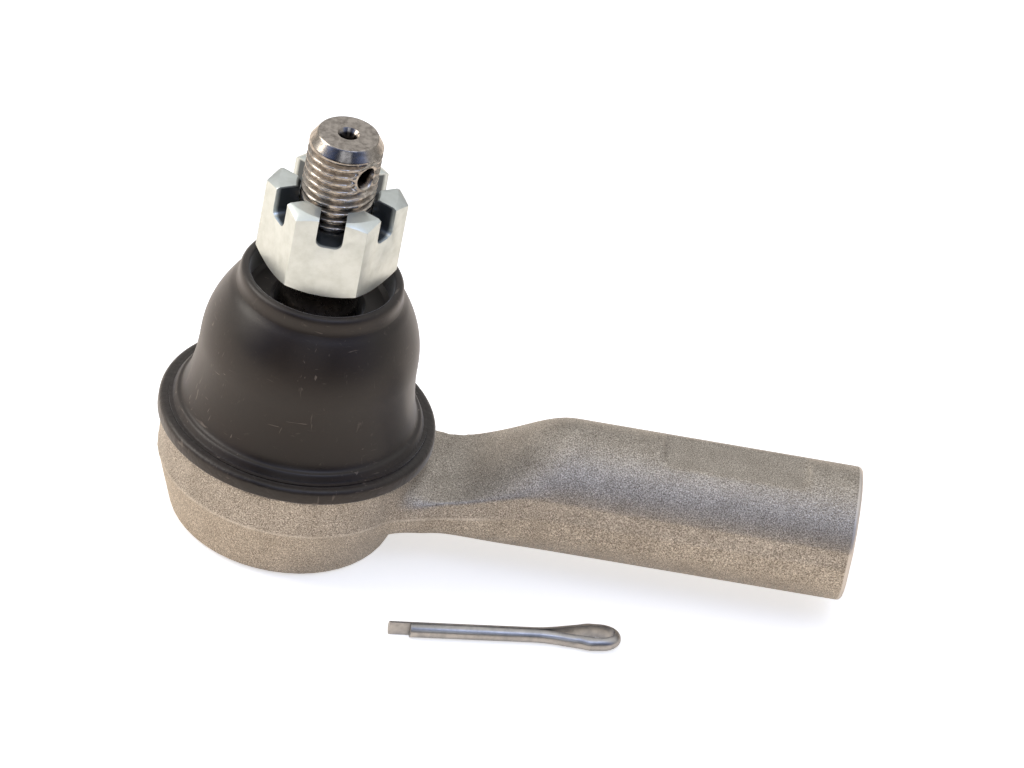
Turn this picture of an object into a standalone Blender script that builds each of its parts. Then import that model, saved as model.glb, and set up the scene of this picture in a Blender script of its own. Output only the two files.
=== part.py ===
"""Outer tie rod end: a forged socket with a female shank, a ball stud, its seats, boot, castle nut and loose pin.

Metres, +Z up the stud, +X along the shank. The origin is the centre of the closing cover's flat outer face.
"""
import bmesh
import bpy
from math import atan2, copysign, cos, hypot, pi, radians, sin, sqrt

MM = 0.001

# Clearance and fineness
GAP = 0.3 * MM
SEGMENTS = 48
ARC_STEPS = 8
OVERRUN = 2.0 * MM

# Stud: an M12 x 1.5 thread on a tapered pin, drawn at its pitch diameter
STUD_TOP_Z = 74.0 * MM
THREAD_R = 5.75 * MM
TOP_FACE_R = 4.8 * MM
TOP_CHAMFER_HEIGHT = 1.55 * MM
CENTRE_DRILL_R = 1.7 * MM
CENTRE_DRILL_DEPTH = 1.9 * MM
TAPER_TOP_Z = 50.0 * MM
TAPER_LENGTH = 15.0 * MM
TAPER_PER_LENGTH = 1 / 16
NECK_R = 5.3 * MM
NECK_FLARE = 3.2 * MM
BALL_R = 10.0 * MM
BALL_Z = 16.0 * MM
BALL_FLAT = 8.2 * MM
PIN_HOLE_R = 1.75 * MM
PIN_HOLE_BELOW_TOP = 5.4 * MM
PIN_HOLE_TURN = radians(-43.0)

# Castle nut: 19 mm across flats
NUT_ACROSS_FLATS = 19.6 * MM
STUD_ABOVE_NUT = 10.4 * MM
NUT_HEIGHT = 14.3 * MM
NUT_BOTTOM_Z = STUD_TOP_Z - STUD_ABOVE_NUT - NUT_HEIGHT
NUT_CHAMFER_R = 9.5 * MM
NUT_CHAMFER_SLOPE = 0.55
NUT_SLOT_WIDTH = 4.2 * MM
NUT_SLOT_DEPTH = 5.0 * MM
NUT_SLOT_ROUND = 1.0 * MM
NUT_SLOTS = 6
NUT_TURN = radians(-91.0)

# Head of the forging
HEAD_TOP_R = 21.6 * MM
HEAD_TOP_Z = 17.7 * MM
PARTING_R = 21.3 * MM
PARTING_Z = 10.6 * MM
HEAD_FOOT_R = 18.4 * MM
FOOT_ROUND = 2.2 * MM
SPIGOT_R = 18.9 * MM
SPIGOT_TOP_Z = 20.4 * MM
DECK_Z = 23.2 * MM
DECK_ROOM = 1.1 * MM
MOUTH_R = 9.4 * MM
MOUTH_FLARE = 1.6 * MM
LIP_UNDER_Z = 20.6 * MM
BORE_R = 12.9 * MM

# Closing cover, crimped into the foot of the head
COVER_R = 14.7 * MM
COVER_THICKNESS = 1.8 * MM
CRIMP_HEIGHT = 1.1 * MM
CRIMP_REACH = 1.2 * MM

# Neck and shank
SHANK_Z = 14.3 * MM
SHANK_R = 10.9 * MM
SHANK_END_X = 91.2 * MM
SHANK_END_CHAMFER = 0.4 * MM
TRIM_HALF_WIDTH = 10.35 * MM
NECK_START_X = 15.4 * MM
NECK_WAIST_X = 27.0 * MM
SHANK_START_X = 44.5 * MM
WAIST_HALF_WIDTH = 9.55 * MM
WAIST_EDGE_DROP = 0.8 * MM
WAIST_DROP = 8.2 * MM
WAIST_SQUARENESS = 0.42
CROWN_START_X = 25.5 * MM
EDGE_START_X = 23.5 * MM
EDGE_END_X = 41.0 * MM
FLARE_WIDTH = 3.4 * MM
FLARE_RISE = 2.4 * MM
RIDGE_HEIGHT = 0.25 * MM
RIDGE_Z = 10.9 * MM
TOP_POINTS = 33
UNDER_POINTS = 33
NECK_STATIONS = 26
TAP_R = 6.55 * MM
TAP_MOUTH_R = 7.4 * MM
TAP_DEPTH = 46.0 * MM
TAP_POINT = 3.4 * MM
FLAT_FROM_AXIS = 10.0 * MM
FLAT_START_X = 58.3 * MM
FLAT_END_X = 83.0 * MM
FLAT_END_ROUND = 1.6 * MM

# Dust boot
FLANGE_R = 22.4 * MM
FLANGE_Z = 18.0 * MM
FLANGE_HEIGHT = 2.9 * MM
FLANGE_ROUND = 0.7 * MM
VALLEY_R = 20.6 * MM
VALLEY_SINK = 0.5 * MM
BEAD_R = 19.9 * MM
BEAD_Z = 21.9 * MM
BEAD_WIDTH = 0.6 * MM
BEAD_FALL = 0.1 * MM
WAIST_R = 18.5 * MM
WAIST_Z = 23.6 * MM
BELL_R = 17.55 * MM
BELL_Z = 32.5 * MM
BELL_HANDLE = 3.6 * MM
SHOULDER_R = 14.3 * MM
SHOULDER_Z = 43.1 * MM
SHOULDER_HANDLE_OUT = 2.5 * MM
SHOULDER_HANDLE_DOWN = 3.9 * MM
LIP_R = 13.2 * MM
LIP_TOP_Z = 47.2 * MM
LIP_FALL = 1.2 * MM
LIP_WALL = 1.6 * MM
LIP_ROUND = 0.35 * MM
RECESS_Z = 42.2 * MM
ROOF_DROP = 3.0 * MM
COLLAR_R = 7.2 * MM
COLLAR_WALL = 2.6 * MM
COLLAR_FOOT_Z = 36.0 * MM
BOOT_WALL = 1.8 * MM

# Rings in the boot
BASE_RING_WALL = 1.4 * MM
NECK_RING_WIRE_R = 0.6 * MM
NECK_RING_Z = 38.3 * MM

# Seats and spring
SEAT_SPLIT = 0.3 * MM
GREASE_HOLE_R = 2.0 * MM
SEAT_FOOT_Z = 4.4 * MM
SPRING_OUTER_R = 11.6 * MM
SPRING_INNER_R = 6.4 * MM
SPRING_THICKNESS = 0.9 * MM

# Loose split pin
PIN_R = 1.2 * MM
PIN_SPLIT = 0.15 * MM
PIN_SHORT_LEG = 27.0 * MM
PIN_LONG_LEG = 30.3 * MM
PIN_EYE_LENGTH = 7.4 * MM
PIN_EYE_HALF = 1.55 * MM
PIN_EYE_BULGE = 0.62
PIN_EYE_HANDLE = 1.7 * MM
PIN_TIP_X = 19.9 * MM
PIN_TIP_Y = -28.2 * MM
PIN_TURN = radians(11.7)
PIN_PATH_STEPS = 9
PIN_SECTION_STEPS = 8


def start():
    """Empty the scene and make one collection for the part and one for its cutters."""
    for old in list(bpy.data.objects):
        bpy.data.objects.remove(old, do_unlink=True)
    made = []
    for name in ("tie_rod_end", "cutters"):
        group = bpy.data.collections.new(name)
        bpy.context.scene.collection.children.link(group)
        made.append(group)
    return made


def paint(part, colour, metallic, roughness):
    """Give one part its own plain material."""
    look = bpy.data.materials.new(part.name)
    look.use_nodes = True
    shader = look.node_tree.nodes["Principled BSDF"]
    shader.inputs["Base Color"].default_value = (*colour, 1.0)
    shader.inputs["Metallic"].default_value = metallic
    shader.inputs["Roughness"].default_value = roughness
    part.data.materials.clear()
    part.data.materials.append(look)


def add(name, mesh, group):
    """Put a mesh into the scene under one name."""
    part = bpy.data.objects.new(name, mesh)
    group.objects.link(part)
    return part


def add_cutter(name, mesh):
    """Put a cutting solid into the scene, out of the render."""
    solid = add(name, mesh, CUTTERS)
    solid.hide_render = True
    solid.display_type = "WIRE"
    return solid


def combine(part, other, operation):
    """Join, cut or trim a part with another solid."""
    step = part.modifiers.new(other.name, "BOOLEAN")
    step.operation = operation
    step.solver = "EXACT"
    step.object = other


def turn_outline(part, segments=SEGMENTS):
    """Turn an outline about Z."""
    step = part.modifiers.new("turn", "SCREW")
    step.angle = 2 * pi
    step.steps = segments
    step.render_steps = segments
    step.use_merge_vertices = True
    step.merge_threshold = 0.00001
    step.use_smooth_shade = False


def outline_mesh(name, points, closed):
    """An outline of (radius, height) points, running down the outer side first."""
    mesh = bpy.data.meshes.new(name)
    edges = [(i, i + 1) for i in range(len(points) - 1)]
    if closed:
        edges.append((len(points) - 1, 0))
    mesh.from_pydata([(r, 0.0, z) for r, z in points], edges, [])
    return mesh


def turned(name, points, closed=False, group=None):
    """A turned piece: a ring where the outline is closed, a full body where it ends on the axis."""
    mesh = outline_mesh(name, points, closed)
    part = add(name, mesh, group or PARTS)
    turn_outline(part)
    return part


def arc(centre_r, centre_z, radius, first, last, steps=ARC_STEPS):
    """Points on an arc, by angle from the outward radius."""
    turn = (last - first) / steps
    angles = [first + turn * i for i in range(steps + 1)]
    return [(centre_r + radius * cos(a), centre_z + radius * sin(a)) for a in angles]


def curve(p0, p1, p2, p3, steps=ARC_STEPS):
    """Points on a smooth curve with two handles."""
    points = []
    for i in range(steps + 1):
        t = i / steps
        weights = ((1 - t) ** 3, 3 * t * (1 - t) ** 2, 3 * t * t * (1 - t), t ** 3)
        points.append(tuple(sum(w * p[k] for w, p in zip(weights, (p0, p1, p2, p3))) for k in range(2)))
    return points


def ease(value, first, last):
    """A smooth step from 0 to 1 between two places."""
    t = min(max((value - first) / (last - first), 0.0), 1.0)
    return t * t * (3 - 2 * t)


def loft(name, rings):
    """A closed solid through a row of rings with equal point counts."""
    form = bmesh.new()
    rows = [[form.verts.new(p) for p in ring] for ring in rings]
    count = len(rows[0])
    for near, far in zip(rows, rows[1:]):
        for i in range(count):
            j = (i + 1) % count
            form.faces.new((near[i], near[j], far[j], far[i]))
    form.faces.new(list(reversed(rows[0])))
    form.faces.new(rows[-1])
    bmesh.ops.recalc_face_normals(form, faces=form.faces)
    mesh = bpy.data.meshes.new(name)
    form.to_mesh(mesh)
    form.free()
    return mesh


def box_mesh(name, low, high, rounding=0.0, axis=None):
    """A box between two corners, with the edges along one axis rounded if asked."""
    form = bmesh.new()
    bmesh.ops.create_cube(form, size=1.0)
    for vert in form.verts:
        vert.co = [lo + (c + 0.5) * (hi - lo) for lo, hi, c in zip(low, high, vert.co)]
    if rounding:
        along = [e for e in form.edges if abs((e.verts[0].co - e.verts[1].co)[axis]) > 1e-9]
        bmesh.ops.bevel(form, geom=along, offset=rounding, segments=4, affect="EDGES", profile=0.5)
    mesh = bpy.data.meshes.new(name)
    form.to_mesh(mesh)
    form.free()
    return mesh


def head_outline():
    """The head's ring section: spigot and tapered outside, then the socket's inside from the foot up."""
    foot_slope = atan2(PARTING_R - HEAD_FOOT_R, PARTING_Z - FOOT_ROUND)
    foot_centre_r = HEAD_FOOT_R - FOOT_ROUND
    deck_r = WAIST_R - BOOT_WALL - DECK_ROOM
    counterbore_r = COVER_R + GAP
    step_z = COVER_THICKNESS + GAP
    outside = [
        (MOUTH_R + MOUTH_FLARE, DECK_Z), (deck_r, DECK_Z),
        (deck_r, SPIGOT_TOP_Z), (SPIGOT_R, SPIGOT_TOP_Z),
        (SPIGOT_R, HEAD_TOP_Z), (HEAD_TOP_R, HEAD_TOP_Z), (PARTING_R, PARTING_Z),
    ]
    foot = arc(foot_centre_r, FOOT_ROUND, FOOT_ROUND, -foot_slope, -pi / 2)
    inside = [
        (counterbore_r - CRIMP_REACH, 0.0), (counterbore_r, CRIMP_HEIGHT),
        (counterbore_r, step_z), (BORE_R, step_z),
        (BORE_R, LIP_UNDER_Z), (MOUTH_R, LIP_UNDER_Z), (MOUTH_R, DECK_Z - MOUTH_FLARE),
    ]
    return outside + foot + inside


def neck_ring(x):
    """One section of the neck: arched on top, straight at the sides, and rounder towards the shank."""
    near_head = 1 - ease(x, NECK_START_X, NECK_WAIST_X)
    roundness = ease(x, NECK_WAIST_X, SHANK_START_X)
    half_width = WAIST_HALF_WIDTH + (TRIM_HALF_WIDTH - WAIST_HALF_WIDTH) * roundness + FLARE_WIDTH * near_head
    shank_edge = sqrt(SHANK_R ** 2 - TRIM_HALF_WIDTH ** 2)
    edge = (shank_edge + WAIST_EDGE_DROP) * ease(x, EDGE_START_X, EDGE_END_X) - WAIST_EDGE_DROP
    crown = SHANK_R * ease(x, CROWN_START_X, SHANK_START_X) + FLARE_RISE * near_head ** 2
    parting = (RIDGE_Z - SHANK_Z) * (1 - ease(x, EDGE_START_X, SHANK_START_X))
    bottom = WAIST_DROP + (SHANK_R - WAIST_DROP) * roundness
    squareness = WAIST_SQUARENESS + (1 - WAIST_SQUARENESS) * roundness
    reach = half_width + (SHANK_R - TRIM_HALF_WIDTH) * roundness
    ring = []
    for i in range(TOP_POINTS + 1):
        across = cos(pi * i / TOP_POINTS)
        arch = (sqrt(SHANK_R ** 2 - (TRIM_HALF_WIDTH * across) ** 2) - shank_edge) / (SHANK_R - shank_edge)
        ring.append((x, half_width * across, SHANK_Z + edge + (crown - edge) * arch))
    ridge = half_width + RIDGE_HEIGHT * (1 - roundness)
    for i in range(UNDER_POINTS + 1):
        a = pi * i / UNDER_POINTS
        across = -copysign(abs(cos(a)) ** squareness, cos(a))
        if i in (0, UNDER_POINTS):
            y = ridge * across
        else:
            y = min(max(reach * across, -half_width), half_width)
        ring.append((x, y, SHANK_Z + parting - (bottom + parting) * sin(a) ** squareness))
    return ring


def shank_mesh():
    """Neck and shank as one loft from inside the head's wall to the shank's end."""
    step = (SHANK_START_X - NECK_START_X) / NECK_STATIONS
    rings = [neck_ring(NECK_START_X + step * i) for i in range(NECK_STATIONS + 1)]
    full = rings[-1]
    rings.append([(SHANK_END_X - SHANK_END_CHAMFER, y, z) for _, y, z in full])
    shrink = 1 - SHANK_END_CHAMFER / SHANK_R
    rings.append([(SHANK_END_X, y * shrink, SHANK_Z + (z - SHANK_Z) * shrink) for _, y, z in full])
    return loft("shank", rings)


def lay_along_x(cutter):
    """Turn a Z axis cutter to point along +X on the shank's axis."""
    cutter.rotation_euler = (0.0, pi / 2, 0.0)
    cutter.location = (0.0, 0.0, SHANK_Z)


def make_housing():
    """The forged and machined socket with its neck, tapped shank and two spanner flats."""
    housing = turned("socket_housing", head_outline(), closed=True)
    combine(housing, add_cutter("shank", shank_mesh()), "UNION")
    mouth_depth = TAP_MOUTH_R - TAP_R
    tap = turned("tap", [
        (0.0, SHANK_END_X + OVERRUN), (TAP_MOUTH_R, SHANK_END_X + OVERRUN),
        (TAP_MOUTH_R, SHANK_END_X), (TAP_R, SHANK_END_X - mouth_depth),
        (TAP_R, SHANK_END_X - TAP_DEPTH), (0.0, SHANK_END_X - TAP_DEPTH - TAP_POINT),
    ], group=CUTTERS)
    tap.hide_render = True
    tap.display_type = "WIRE"
    lay_along_x(tap)
    combine(housing, tap, "DIFFERENCE")
    reach = SHANK_R + OVERRUN
    for side, name in ((1, "upper_flat"), (-1, "lower_flat")):
        heights = sorted((SHANK_Z + side * FLAT_FROM_AXIS, SHANK_Z + side * reach))
        low = (FLAT_START_X, -reach, heights[0])
        high = (FLAT_END_X, reach, heights[1])
        cutter = add_cutter(name, box_mesh(name, low, high, FLAT_END_ROUND, 1))
        combine(housing, cutter, "DIFFERENCE")
    paint(housing, (0.32, 0.30, 0.28), 0.8, 0.6)


def make_stud():
    """Ball, neck, tapered seat and threaded end in one turned piece, cross-drilled for the pin."""
    taper_foot_z = TAPER_TOP_Z - TAPER_LENGTH
    taper_foot_r = THREAD_R + TAPER_LENGTH * TAPER_PER_LENGTH
    neck_rise = sqrt(BALL_R ** 2 - NECK_R ** 2)
    flat_r = sqrt(BALL_R ** 2 - BALL_FLAT ** 2)
    outline = [
        (0.0, STUD_TOP_Z - CENTRE_DRILL_DEPTH), (CENTRE_DRILL_R, STUD_TOP_Z), (TOP_FACE_R, STUD_TOP_Z),
        (THREAD_R, STUD_TOP_Z - TOP_CHAMFER_HEIGHT), (THREAD_R, TAPER_TOP_Z),
        (taper_foot_r, taper_foot_z), (NECK_R, taper_foot_z - NECK_FLARE),
    ]
    start_angle = atan2(neck_rise, NECK_R)
    end_angle = atan2(-BALL_FLAT, flat_r)
    outline += arc(0.0, BALL_Z, BALL_R, start_angle, end_angle, 2 * ARC_STEPS)
    outline.append((0.0, BALL_Z - BALL_FLAT))
    stud = turned("ball_stud", outline)
    hole = turned("pin_hole", [
        (0.0, HOLE_REACH), (PIN_HOLE_R, HOLE_REACH), (PIN_HOLE_R, -HOLE_REACH), (0.0, -HOLE_REACH),
    ], group=CUTTERS)
    hole.hide_render = True
    hole.display_type = "WIRE"
    hole.rotation_euler = (0.0, pi / 2, PIN_HOLE_TURN)
    hole.location = (0.0, 0.0, STUD_TOP_Z - PIN_HOLE_BELOW_TOP)
    combine(stud, hole, "DIFFERENCE")
    paint(stud, (0.45, 0.42, 0.40), 0.9, 0.45)


def make_nut():
    """Castle nut: a hexagon trimmed by two cones, bored, with slots across the flats."""
    corner_r = NUT_ACROSS_FLATS / 2 / cos(pi / 6)
    top_z = NUT_BOTTOM_Z + NUT_HEIGHT
    rings = []
    for z in (NUT_BOTTOM_Z - OVERRUN, top_z + OVERRUN):
        angles = [NUT_TURN + pi / 6 + pi / 3 * i for i in range(6)]
        rings.append([(corner_r * cos(a), corner_r * sin(a), z) for a in angles])
    nut = add("castle_nut", loft("castle_nut", rings), PARTS)
    reach = corner_r + OVERRUN
    drop = (reach - NUT_CHAMFER_R) * NUT_CHAMFER_SLOPE
    cones = turned("nut_cones", [
        (0.0, top_z), (NUT_CHAMFER_R, top_z), (reach, top_z - drop),
        (reach, NUT_BOTTOM_Z + drop), (NUT_CHAMFER_R, NUT_BOTTOM_Z), (0.0, NUT_BOTTOM_Z),
    ], group=CUTTERS)
    bore_r = THREAD_R + GAP
    bore = turned("nut_bore", [
        (0.0, top_z + OVERRUN), (bore_r, top_z + OVERRUN),
        (bore_r, NUT_BOTTOM_Z - OVERRUN), (0.0, NUT_BOTTOM_Z - OVERRUN),
    ], group=CUTTERS)
    for cutter in (cones, bore):
        cutter.hide_render = True
        cutter.display_type = "WIRE"
    cones.rotation_euler = (0.0, 0.0, NUT_TURN + pi / SEGMENTS)
    bore.rotation_euler = (0.0, 0.0, NUT_TURN)
    combine(nut, cones, "INTERSECT")
    combine(nut, bore, "DIFFERENCE")
    half = NUT_SLOT_WIDTH / 2
    for i in range(NUT_SLOTS // 2):
        low = (-reach, -half, top_z - NUT_SLOT_DEPTH)
        high = (reach, half, top_z + OVERRUN)
        name = f"nut_slot_{i + 1}"
        slot = add_cutter(name, box_mesh(name, low, high, NUT_SLOT_ROUND, 0))
        slot.rotation_euler = (0.0, 0.0, NUT_TURN + i * 2 * pi / NUT_SLOTS)
        combine(nut, slot, "DIFFERENCE")
    paint(nut, (0.80, 0.78, 0.72), 0.9, 0.35)


def make_seats():
    """Upper and lower polymer seats around the ball, split at its middle."""
    seat_r = BALL_R + GAP
    outer_r = BORE_R - GAP
    top_z = LIP_UNDER_Z - GAP
    split = SEAT_SPLIT / 2
    top_angle = atan2(top_z - BALL_Z, sqrt(seat_r ** 2 - (top_z - BALL_Z) ** 2))
    split_angle = atan2(split, sqrt(seat_r ** 2 - split ** 2))
    upper = [(outer_r, top_z), (outer_r, BALL_Z + split)]
    upper += arc(0.0, BALL_Z, seat_r, split_angle, top_angle)
    upper_bearing = turned("upper_bearing", upper, closed=True)
    floor_angle = atan2(-sqrt(seat_r ** 2 - GREASE_HOLE_R ** 2), GREASE_HOLE_R)
    lower = [(outer_r, BALL_Z - split), (outer_r, SEAT_FOOT_Z), (GREASE_HOLE_R, SEAT_FOOT_Z)]
    lower += arc(0.0, BALL_Z, seat_r, floor_angle, -split_angle)
    lower_bearing = turned("lower_bearing", lower, closed=True)
    paint(upper_bearing, (0.80, 0.78, 0.70), 0.0, 0.5)
    paint(lower_bearing, (0.75, 0.73, 0.66), 0.0, 0.5)


def make_spring_and_cover():
    """Disc spring under the lower seat, and the cover that the foot of the head is crimped over."""
    spring_low = COVER_THICKNESS + GAP
    spring_high = SEAT_FOOT_Z - GAP
    spring = turned("preload_spring", [
        (SPRING_INNER_R, spring_high), (SPRING_OUTER_R, spring_low + SPRING_THICKNESS),
        (SPRING_OUTER_R, spring_low), (SPRING_INNER_R, spring_high - SPRING_THICKNESS),
    ], closed=True)
    paint(spring, (0.25, 0.25, 0.27), 0.9, 0.4)
    crimp_gap = GAP * hypot(CRIMP_HEIGHT, CRIMP_REACH) / CRIMP_HEIGHT
    crimp_r = COVER_R + GAP - crimp_gap
    corner_z = CRIMP_HEIGHT * (COVER_R - crimp_r + CRIMP_REACH) / CRIMP_REACH
    cover = turned("end_cover", [
        (0.0, COVER_THICKNESS), (COVER_R, COVER_THICKNESS), (COVER_R, corner_z),
        (crimp_r - CRIMP_REACH, 0.0), (0.0, 0.0),
    ])
    paint(cover, (0.35, 0.33, 0.30), 0.9, 0.5)


def boot_outside():
    """The boot's outer side from the lip's inner edge down to the flange's foot."""
    lip_in_r = LIP_R - LIP_WALL
    outside = [(lip_in_r + LIP_ROUND, LIP_TOP_Z)]
    rim_z = LIP_TOP_Z - LIP_FALL
    outside += arc(LIP_R - LIP_ROUND, rim_z - LIP_ROUND, LIP_ROUND, pi / 2, 0.0, 3)
    outside.append((LIP_R, SHOULDER_Z + LIP_ROUND))
    shoulder = (SHOULDER_R, SHOULDER_Z)
    bell = (BELL_R, BELL_Z)
    waist = (WAIST_R, WAIST_Z)
    shoulder_handle = (SHOULDER_R + SHOULDER_HANDLE_OUT, SHOULDER_Z - SHOULDER_HANDLE_DOWN)
    waist_handle = ((BELL_R + WAIST_R) / 2, WAIST_Z + BELL_HANDLE)
    outside += curve(shoulder, shoulder_handle, (BELL_R, BELL_Z + BELL_HANDLE), bell)
    outside += curve(bell, (BELL_R, BELL_Z - BELL_HANDLE), waist_handle, waist)[1:]
    flange_top = FLANGE_Z + FLANGE_HEIGHT
    outside += [(BEAD_R - BEAD_WIDTH, BEAD_Z), (BEAD_R, BEAD_Z - BEAD_FALL)]
    outside += [(VALLEY_R, flange_top - VALLEY_SINK), (VALLEY_R + VALLEY_SINK, flange_top)]
    outside += arc(FLANGE_R - FLANGE_ROUND, flange_top - FLANGE_ROUND, FLANGE_ROUND, pi / 2, 0.0, 3)
    outside.append((FLANGE_R, FLANGE_Z))
    return outside


def boot_inside():
    """The boot's inner side from the flange's foot up over its ring seat, bell and collar to the recess."""
    ring_room_r = SPIGOT_R + GAP + BASE_RING_WALL + GAP
    seat_z = SPIGOT_TOP_Z + GAP
    groove = NECK_RING_WIRE_R + GAP
    collar_r = COLLAR_R + COLLAR_WALL
    inner_r = WAIST_R - BOOT_WALL
    roof_z = SHOULDER_Z - ROOF_DROP
    bell_in_r = BELL_R - BOOT_WALL
    inside = [(ring_room_r, FLANGE_Z), (ring_room_r, seat_z), (inner_r, seat_z)]
    wall_top = (SHOULDER_R - BOOT_WALL, roof_z)
    inside += curve((inner_r, WAIST_Z), (bell_in_r, WAIST_Z + BELL_HANDLE), (bell_in_r, BELL_Z + BELL_HANDLE), wall_top)
    inside += [(collar_r, roof_z)]
    inside += arc(collar_r, NECK_RING_Z, groove, pi / 2, 3 * pi / 2)
    inside += [(collar_r, COLLAR_FOOT_Z), (COLLAR_R, COLLAR_FOOT_Z), (COLLAR_R, RECESS_Z)]
    lip_in_r = LIP_R - LIP_WALL
    inside += [(lip_in_r, RECESS_Z), (lip_in_r, LIP_TOP_Z - LIP_ROUND)]
    return inside


def make_boot():
    """Rubber boot with the steel ring in its base and the wire ring round its collar."""
    boot = turned("dust_boot", boot_outside() + boot_inside(), closed=True)
    paint(boot, (0.035, 0.030, 0.027), 0.0, 0.55)
    ring_in = SPIGOT_R + GAP
    ring_out = ring_in + BASE_RING_WALL
    base_ring = turned("boot_base_ring", [
        (ring_in, SPIGOT_TOP_Z), (ring_out, SPIGOT_TOP_Z), (ring_out, FLANGE_Z), (ring_in, FLANGE_Z),
    ], closed=True)
    paint(base_ring, (0.20, 0.20, 0.22), 0.9, 0.5)
    wire = arc(COLLAR_R + COLLAR_WALL, NECK_RING_Z, NECK_RING_WIRE_R, pi / 2, -3 * pi / 2, 10)
    neck_ring_part = turned("boot_neck_ring", wire[:-1], closed=True)
    paint(neck_ring_part, (0.55, 0.55, 0.58), 1.0, 0.35)


def pin_path():
    """The pin's flat inner line in its own plane: long leg, eye, short leg."""
    half = PIN_SPLIT / 2
    root_u = PIN_LONG_LEG
    tip_u = root_u + PIN_EYE_LENGTH - PIN_R
    widest_u = root_u + (tip_u - root_u) * PIN_EYE_BULGE
    out = curve((root_u, half), (root_u + PIN_EYE_HANDLE, half), (widest_u - PIN_EYE_HANDLE, PIN_EYE_HALF),
                (widest_u, PIN_EYE_HALF), PIN_PATH_STEPS)
    turn = [pi / 2 - pi / 2 * i / PIN_PATH_STEPS for i in range(1, PIN_PATH_STEPS + 1)]
    out += [(widest_u + (tip_u - widest_u) * cos(a), PIN_EYE_HALF * sin(a)) for a in turn]
    back = [(u, -v) for u, v in reversed(out[:-1])]
    return [(0.0, half)] + out + back + [(PIN_LONG_LEG - PIN_SHORT_LEG, -half)]


def make_pin():
    """Split pin lying on the floor: a half-round wire folded flat side to flat side, with an eye."""
    path = pin_path()
    rings = []
    for i, (u, v) in enumerate(path):
        before = path[max(i - 1, 0)]
        after = path[min(i + 1, len(path) - 1)]
        du, dv = after[0] - before[0], after[1] - before[1]
        length = hypot(du, dv)
        out_u, out_v = -dv / length, du / length
        ring = []
        for k in range(PIN_SECTION_STEPS + 1):
            a = -pi / 2 + pi * k / PIN_SECTION_STEPS
            reach = PIN_R * cos(a)
            ring.append((u + out_u * reach, v + out_v * reach, PIN_R * sin(a)))
        rings.append(ring)
    pin = add("cotter_pin", loft("cotter_pin", rings), PARTS)
    pin.rotation_euler = (0.0, 0.0, PIN_TURN)
    pin.location = (PIN_TIP_X, PIN_TIP_Y, PIN_R)
    paint(pin, (0.70, 0.70, 0.70), 1.0, 0.35)


HOLE_REACH = THREAD_R + OVERRUN
PARTS, CUTTERS = start()
make_housing()
make_stud()
make_nut()
make_seats()
make_spring_and_cover()
make_boot()
make_pin()
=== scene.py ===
# %% [markdown]
# # Outer tie rod end
# A steering ball joint: a forged socket with a tapped shank, a ball stud under a rubber boot,
# a castle nut and the split pin that locks it. The solids give every place and size, and this lesson
# dresses them: threads, rolled rubber, plated faces and the grain of blasted steel.

# %% Load the solids
from math import atan2, cos, floor, hypot, pi, radians, sin

import bpy
from mathutils import Matrix, Vector


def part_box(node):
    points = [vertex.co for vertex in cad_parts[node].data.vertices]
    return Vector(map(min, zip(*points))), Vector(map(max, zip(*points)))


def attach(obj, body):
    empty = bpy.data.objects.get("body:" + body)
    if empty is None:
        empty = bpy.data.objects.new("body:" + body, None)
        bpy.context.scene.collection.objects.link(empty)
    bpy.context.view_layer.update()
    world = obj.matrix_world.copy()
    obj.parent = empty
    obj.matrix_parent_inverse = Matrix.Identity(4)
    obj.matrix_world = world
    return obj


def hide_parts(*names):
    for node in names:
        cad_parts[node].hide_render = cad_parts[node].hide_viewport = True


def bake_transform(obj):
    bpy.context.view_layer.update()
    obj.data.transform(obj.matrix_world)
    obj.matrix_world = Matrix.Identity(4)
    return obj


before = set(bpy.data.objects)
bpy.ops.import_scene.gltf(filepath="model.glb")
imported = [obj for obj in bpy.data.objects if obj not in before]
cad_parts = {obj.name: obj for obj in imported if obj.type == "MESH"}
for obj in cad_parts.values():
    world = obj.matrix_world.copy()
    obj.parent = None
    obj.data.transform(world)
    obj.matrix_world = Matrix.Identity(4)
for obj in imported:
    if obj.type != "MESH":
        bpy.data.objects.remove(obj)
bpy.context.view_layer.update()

MM = 0.001

# %% [markdown]
# ## Camera
# The photograph was taken with a long lens from above and slightly left of the shank's side, and the
# camera was rolled, so the stud leans to the right. A camera is three turns, a distance and a point that
# it looks at, so the roll goes into the camera and the part stays upright.

# %% Camera
CAMERA_AZIMUTH = radians(-3.12)
CAMERA_ELEVATION = radians(35.15)
CAMERA_ROLL = radians(11.49)
CAMERA_DISTANCE = 1280.8 * MM
CAMERA_AIM = Vector((33.1, 5.45, 28.25)) * MM
IMAGE_WIDTH = 1024
FOCAL_PIXELS = 8000
SENSOR_WIDTH = 36.0


def camera_axes():
    """Right, up and back of a camera turned by azimuth and elevation and then rolled."""
    flat = cos(CAMERA_ELEVATION)
    back = Vector((sin(CAMERA_AZIMUTH) * flat, -cos(CAMERA_AZIMUTH) * flat, sin(CAMERA_ELEVATION)))
    right = Vector((cos(CAMERA_AZIMUTH), sin(CAMERA_AZIMUTH), 0.0))
    up = back.cross(right)
    rolled_right = cos(CAMERA_ROLL) * right + sin(CAMERA_ROLL) * up
    rolled_up = cos(CAMERA_ROLL) * up - sin(CAMERA_ROLL) * right
    return rolled_right, rolled_up, back


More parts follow.
